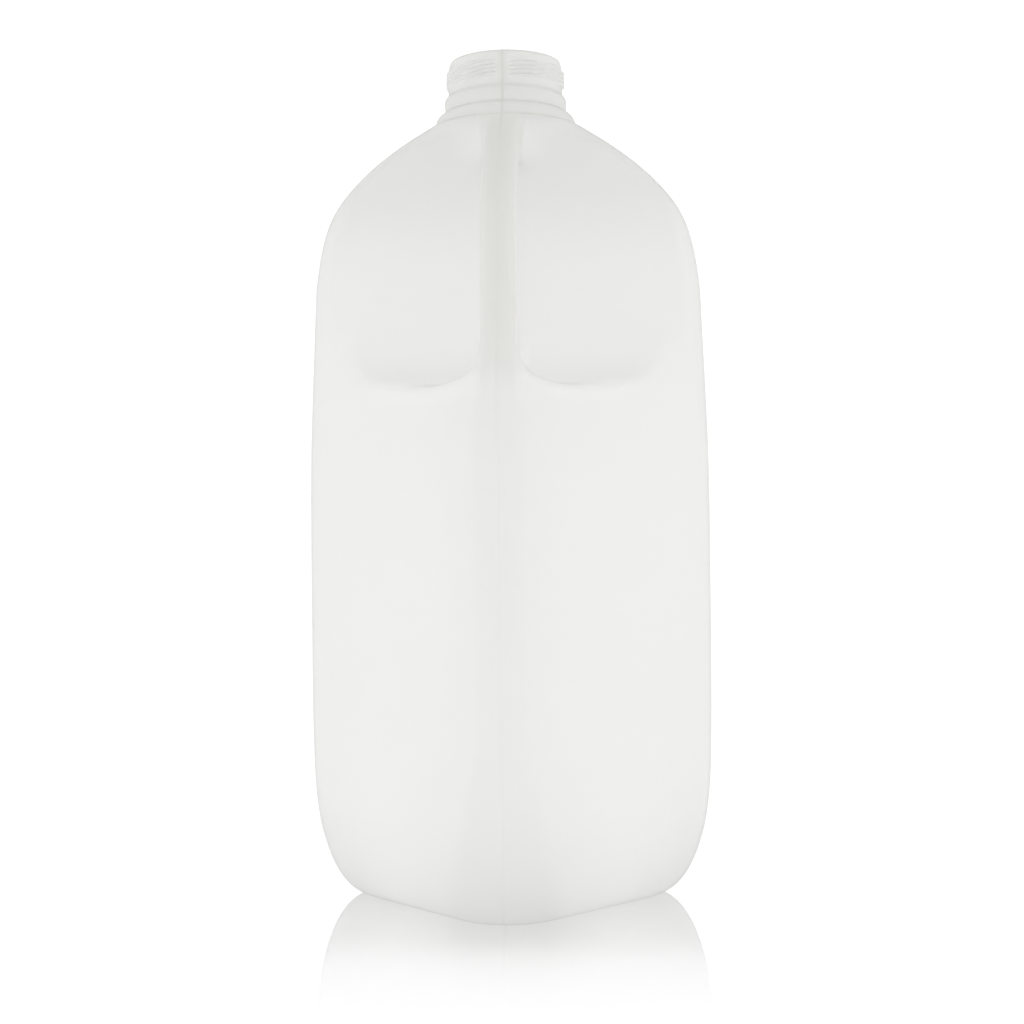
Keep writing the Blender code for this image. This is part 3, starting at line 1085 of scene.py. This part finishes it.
class MILK_OT_bottle(bpy.types.Operator):
    """Model the bottle: body, scoops, handle, neck, threads and parting line"""

    bl_idname = "milk.bottle"
    bl_label = "Bottle"

    def execute(self, context):
        shape = context.scene.bottle_shape
        bpy.ops.object.select_all(action="DESELECT")
        bottle = cut_blank(shape)
        rings = raise_body(shape)
        ledge = len(FOOT + HEEL + WALL)
        crown = len(rings) - len(NECK_ROOT + COLLAR + BEAD + MOUTH)
        press_scoops(shape, rings, ledge, crown)
        spread_handle_ends(rings, ledge, crown)
        mark_group("neck", [number for ring in rings[crown + len(NECK_ROOT) :] for number in ring])
        draw_handle(shape, rings, ledge, crown)
        close_foot(rings)
        give_wall(shape)
        raise_threads(bottle, shape)
        raise_seam(bottle, shape)
        bpy.ops.object.shade_smooth_by_angle(angle=math.radians(SHARP_ANGLE))
        bottle.data.materials.append(polythene(context.scene.bottle_finish))
        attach(bottle, "root")
        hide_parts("bottle")
        return {"FINISHED"}


def floor_shine(nodes, place):
    """The share of the floor's reflection, by the distance from the bottle: a socket."""
    x, y, _ = nodes.split(place)
    across = nodes.times(nodes.calc("ABSOLUTE", x), SHINE_ACROSS)
    away = nodes.calc("MAXIMUM", across, nodes.calc("ABSOLUTE", y))
    reach = FLOOR_SHINE[-1][0]
    shown = nodes.add("ShaderNodeFloatCurve")
    curve = shown.mapping.curves[0]
    for point, (at, share) in zip(curve.points, (FLOOR_SHINE[0], FLOOR_SHINE[-1])):
        point.location = (at / reach, share)
    for at, share in FLOOR_SHINE[1:-1]:
        curve.points.new(at / reach, share)
    shown.mapping.update()
    nodes.join(nodes.calc("DIVIDE", away, reach * MM), shown.inputs["Value"])
    return shown.outputs["Value"]


def add_floor(look):
    """A white floor that gives off light, with a reflection that fades away from the bottle."""
    bpy.ops.object.select_all(action="DESELECT")
    bpy.ops.mesh.primitive_plane_add(size=look.floor_size)
    floor = bpy.context.object
    floor.name = floor.data.name = "floor"
    material = bpy.data.materials.new("white_floor")
    material.use_nodes = True
    nodes = Nodes(material.node_tree)
    place = nodes.add("ShaderNodeTexCoord").outputs["Object"]
    distance = nodes.add("ShaderNodeVectorMath", operation="LENGTH")
    nodes.join(place, distance.inputs[0])
    radius = distance.outputs["Value"]
    share = nodes.times(floor_shine(nodes, place), nodes.fade(radius, LIGHT_BELOW_EDGE))
    white = nodes.add("ShaderNodeEmission", Color=(*look.white, 1.0))
    below = nodes.fade(radius, LIGHT_BELOW_EDGE, look.light_below, 1.0)
    round_about = nodes.fade(radius, LIGHTER_FROM, 1.0, look.floor_light)
    nodes.join(nodes.times(below, round_about), white.inputs["Strength"])
    mirror = nodes.add("ShaderNodeBsdfGlossy", Color=(1, 1, 1, 1), Roughness=MIRROR_ROUGHNESS)
    mixed = nodes.add("ShaderNodeMixShader")
    nodes.join(share, mixed.inputs["Fac"])
    nodes.join(white.outputs["Emission"], mixed.inputs[1])
    nodes.join(mirror.outputs["BSDF"], mixed.inputs[2])
    output = nodes.add("ShaderNodeOutputMaterial")
    nodes.join(mixed.outputs["Shader"], output.inputs["Surface"])
    floor.data.materials.append(material)


def light_room(look):
    """A white room, darker overhead and behind the camera."""
    world = bpy.data.worlds.new("white_room")
    bpy.context.scene.world = world
    world.use_nodes = True
    nodes = Nodes(world.node_tree)
    _, y, z = nodes.split(nodes.add("ShaderNodeTexCoord").outputs["Generated"])
    behind = nodes.ramp(y, *BEHIND_CAMERA, 1.0, 0.0)
    raised = nodes.ramp(z, *ABOVE_FLOOR, 0.0, 1.0)
    ahead = nodes.ramp(nodes.times(behind, raised), 0.0, 1.0, ROOM_LIGHT, look.front_light)
    above = nodes.ramp(z, *OVERHEAD, 1.0, look.top_light)
    white = nodes.add("ShaderNodeBackground", Color=(*look.white, 1.0))
    nodes.join(nodes.times(ahead, above), white.inputs["Strength"])
    output = nodes.add("ShaderNodeOutputWorld")
    nodes.join(white.outputs["Background"], output.inputs["Surface"])


def add_softboxes(look):
    """Two upright softboxes, one on each side of the bottle."""
    for side in (-1, 1):
        turn = look.camera_turn + side * math.radians(SOFTBOX_TURN)
        place = Vector((math.sin(turn), -math.cos(turn), 0)) * SOFTBOX_DISTANCE
        place.z = SOFTBOX_HEIGHT
        aim = (Vector((0, 0, SOFTBOX_AIM_HEIGHT)) - place).to_track_quat("-Z", "Y").to_euler()
        bpy.ops.object.light_add(type="AREA", location=place, rotation=aim)
        box = bpy.context.object
        box.name = box.data.name = "softbox"
        box.data.shape = "RECTANGLE"
        box.data.size, box.data.size_y = SOFTBOX_SIZE
        box.data.energy = look.softbox_power


def add_camera(look):
    """The camera, a little to the right of the handle and at the height of the body's middle."""
    turn = look.camera_turn
    back = Vector((math.sin(turn), -math.cos(turn), 0))
    right = Vector((math.cos(turn), math.sin(turn), 0))
    place = back * look.camera_distance + right * CAMERA_ASIDE * MM
    place.z = look.camera_height
    bpy.ops.object.camera_add(location=place)
    camera = bpy.context.object
    camera.data.sensor_width = SENSOR_WIDTH
    camera.data.lens = SENSOR_WIDTH * FOCAL_PIXELS / PICTURE_SIDE
    pitch = math.atan((HORIZON_ROW - PICTURE_SIDE / 2) / FOCAL_PIXELS)
    level = (-back).to_track_quat("-Z", "Y").to_matrix()
    roll = Matrix.Rotation(math.radians(CAMERA_ROLL), 3, "Z")
    camera.rotation_euler = (level @ Matrix.Rotation(pitch, 3, "X") @ roll).to_euler()
    bpy.context.scene.camera = camera


class MILK_OT_stage(bpy.types.Operator):
    """Set the stage: white floor, white room, soft lights and the camera"""

    bl_idname = "milk.stage"
    bl_label = "Stage"

    def execute(self, context):
        look = context.scene.stage_look
        add_floor(look)
        light_room(look)
        add_softboxes(look)
        add_camera(look)
        context.scene.view_settings.view_transform = "Standard"
        return {"FINISHED"}


class MILK_PT_panel(bpy.types.Panel):
    """Lists the bottle's sizes and colours, and the operators that build it"""

    bl_label = "Milk bottle"
    bl_idname = "MILK_PT_panel"
    bl_space_type = "VIEW_3D"
    bl_region_type = "UI"
    bl_category = "Bottle"

    def draw(self, context):
        scene = context.scene
        for group in (scene.bottle_shape, scene.bottle_finish, scene.stage_look):
            box = self.layout.box()
            for name in group.__annotations__:
                box.prop(group, name)
        for operator in (MILK_OT_bottle, MILK_OT_stage):
            self.layout.operator(operator.bl_idname)


CLASSES = (BottleShape, BottleFinish, StageLook, MILK_OT_bottle, MILK_OT_stage, MILK_PT_panel)


def register():
    for cls in CLASSES:
        bpy.utils.register_class(cls)
    bpy.types.Scene.bottle_shape = PointerProperty(type=BottleShape)
    bpy.types.Scene.bottle_finish = PointerProperty(type=BottleFinish)
    bpy.types.Scene.stage_look = PointerProperty(type=StageLook)


def unregister():
    del bpy.types.Scene.stage_look
    del bpy.types.Scene.bottle_finish
    del bpy.types.Scene.bottle_shape
    for cls in reversed(CLASSES):
        bpy.utils.unregister_class(cls)


def main():
    register()
    bpy.ops.milk.bottle()
    bpy.ops.milk.stage()


if __name__ == "__main__":
    main()
